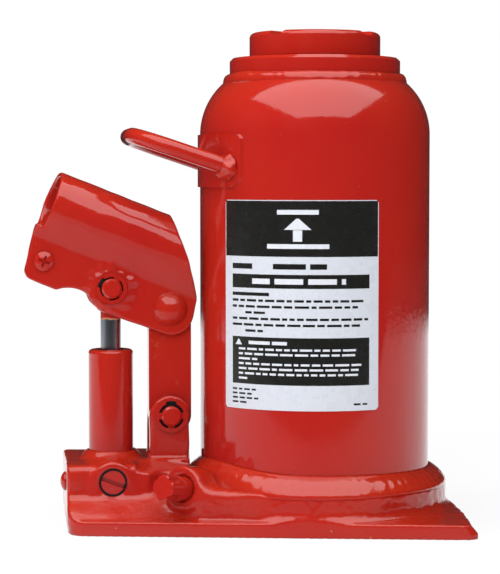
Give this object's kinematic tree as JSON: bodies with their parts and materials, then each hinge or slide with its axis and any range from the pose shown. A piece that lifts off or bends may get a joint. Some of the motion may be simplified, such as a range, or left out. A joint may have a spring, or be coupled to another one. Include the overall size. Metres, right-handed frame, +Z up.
{
  "type": "hydraulic bottle jack",
  "caption": "Welded hydraulic bottle jack with lever pump, handle socket, side release valve, lifting ram, extension screw and carry handle.",
  "frame": {"origin": "on the ram's axis, at the underside of the base", "axes": "+Z up along the ram, -X towards the pump and handle socket, -Y towards the label and the slotted plug"},
  "size_m": [0.213, 0.1562, 0.2413],
  "materials": {
    "cast_paint": "glossy red enamel over rough casting",
    "enamel": "glossy red enamel with drips and small chips",
    "weld_paint": "glossy red enamel over rippled weld",
    "seal_rubber": "matt black nitrile rubber",
    "dark_steel": "oiled machined steel",
    "copper_gasket": "dull copper",
    "label_film": "printed vinyl, off-white with black blocks",
    "bronze": "machined bronze",
    "ground_steel": "ground steel with fine wear lines",
    "white_plastic": "plain"
  },
  "bodies": {
    "root": {"base": "cast_paint", "reservoir_tube": "enamel", "base_weld_bead": "weld_paint", "top_weld_bead": "weld_paint", "top_collar": "enamel", "ram_rod_seal": "seal_rubber", "ram_wiper": "seal_rubber", "pressure_cylinder": "dark_steel", "cylinder_gasket": "copper_gasket", "label": "label_film", "filler_plug": "seal_rubber", "carry_handle": "enamel", "handle_strap": "enamel", "handle_welds": "weld_paint", "pump_cylinder": "enamel", "pump_cylinder_gasket": "copper_gasket", "relief_plug": "enamel", "relief_plug_seal": "seal_rubber", "relief_screw": "dark_steel", "relief_spring": "dark_steel", "passage_plug": "enamel", "suction_strainer": "bronze", "discharge_spring": "dark_steel", "discharge_retainer": "dark_steel", "link_lower_pin": "enamel", "lower_pin_clips": "enamel"},
    "link": {"link_bar": "enamel"},
    "socket": {"handle_socket": "enamel", "link_upper_rivet": "enamel", "plunger_pin": "enamel", "plunger_pin_clips": "enamel", "clamp_screw": "enamel", "clamp_nut": "enamel"},
    "plunger": {"pump_plunger": "ground_steel", "plunger_o_ring": "seal_rubber", "plunger_backup_ring": "white_plastic"},
    "ram": {"ram": "ground_steel", "ram_piston": "bronze", "ram_cup_seal": "seal_rubber", "seal_washer": "dark_steel", "piston_retaining_ring": "dark_steel"},
    "screw_stop": {"screw_stop_ring": "dark_steel"},
    "screw": {"extension_screw": "ground_steel", "saddle": "enamel"},
    "release_seal": {"release_o_ring": "seal_rubber"},
    "release_valve": {"release_screw": "enamel"},
    "release_ball": {"release_ball": "dark_steel"},
    "suction_ball": {"suction_ball": "dark_steel"},
    "discharge_ball": {"discharge_ball": "dark_steel"},
    "relief_ball": {"relief_ball": "dark_steel"}
  },
  "joints": [
    {"name": "ram_lift", "type": "slide", "parent": "root", "child": "ram", "axis": [0, 0, 1], "range_m": [0, 0.15]},
    {"name": "screw_rise", "type": "slide", "parent": "ram", "child": "screw_stop", "axis": [0, 0, 1], "range_m": [0, 0.0605]},
    {"name": "screw_turn", "type": "hinge", "parent": "screw_stop", "child": "screw", "pos_m": [0, 0, 0.2287], "axis": [0, 0, 1], "range_deg": [0, 3600]},
    {"name": "link_swing", "type": "hinge", "parent": "root", "child": "link", "pos_m": [-0.073, 0, 0.0526], "axis": [0, -1, 0], "range_deg": [-3.1, 1.1]},
    {"name": "handle_swing", "type": "hinge", "parent": "link", "child": "socket", "pos_m": [-0.073, 0, 0.105], "axis": [0, -1, 0], "range_deg": [-11, 33]},
    {"name": "plunger_stroke", "type": "slide", "parent": "root", "child": "plunger", "axis": [0, 0, 1], "range_m": [-0.016, 0.0055]},
    {"name": "release_creep", "type": "slide", "parent": "root", "child": "release_seal", "axis": [-0.6349, -0.7566, 0.1564], "range_m": [0, 0.0034]},
    {"name": "release_turn", "type": "hinge", "parent": "release_seal", "child": "release_valve", "pos_m": [-0.0708, -0.043, 0.0214], "axis": [-0.6349, -0.7566, 0.1564], "range_deg": [0, 720]},
    {"name": "release_ball_lift", "type": "slide", "parent": "root", "child": "release_ball", "axis": [-0.6349, -0.7566, 0.1564], "range_m": [0, 0.00115]},
    {"name": "suction_ball_lift", "type": "slide", "parent": "root", "child": "suction_ball", "axis": [0, 0, 1], "range_m": [0, 0.0015]},
    {"name": "discharge_ball_lift", "type": "slide", "parent": "root", "child": "discharge_ball", "axis": [0, 0, 1], "range_m": [0, 0.0006], "deforming": ["discharge_spring"]},
    {"name": "relief_ball_lift", "type": "slide", "parent": "root", "child": "relief_ball", "axis": [0, -1, 0], "range_m": [0, 0.0005]}
  ],
  "couplings": [
    {"joint": "screw_rise", "follows": "screw_turn", "m_per_rad": 0.00095493},
    {"joint": "link_swing", "follows": "handle_swing", "ratio": -0.0896},
    {"joint": "plunger_stroke", "follows": "handle_swing", "m_per_rad": -0.0274},
    {"joint": "release_creep", "follows": "release_turn", "m_per_rad": 0.00023873},
    {"joint": "release_ball_lift", "follows": "release_turn", "m_per_rad": 0.000079577}
  ]
}
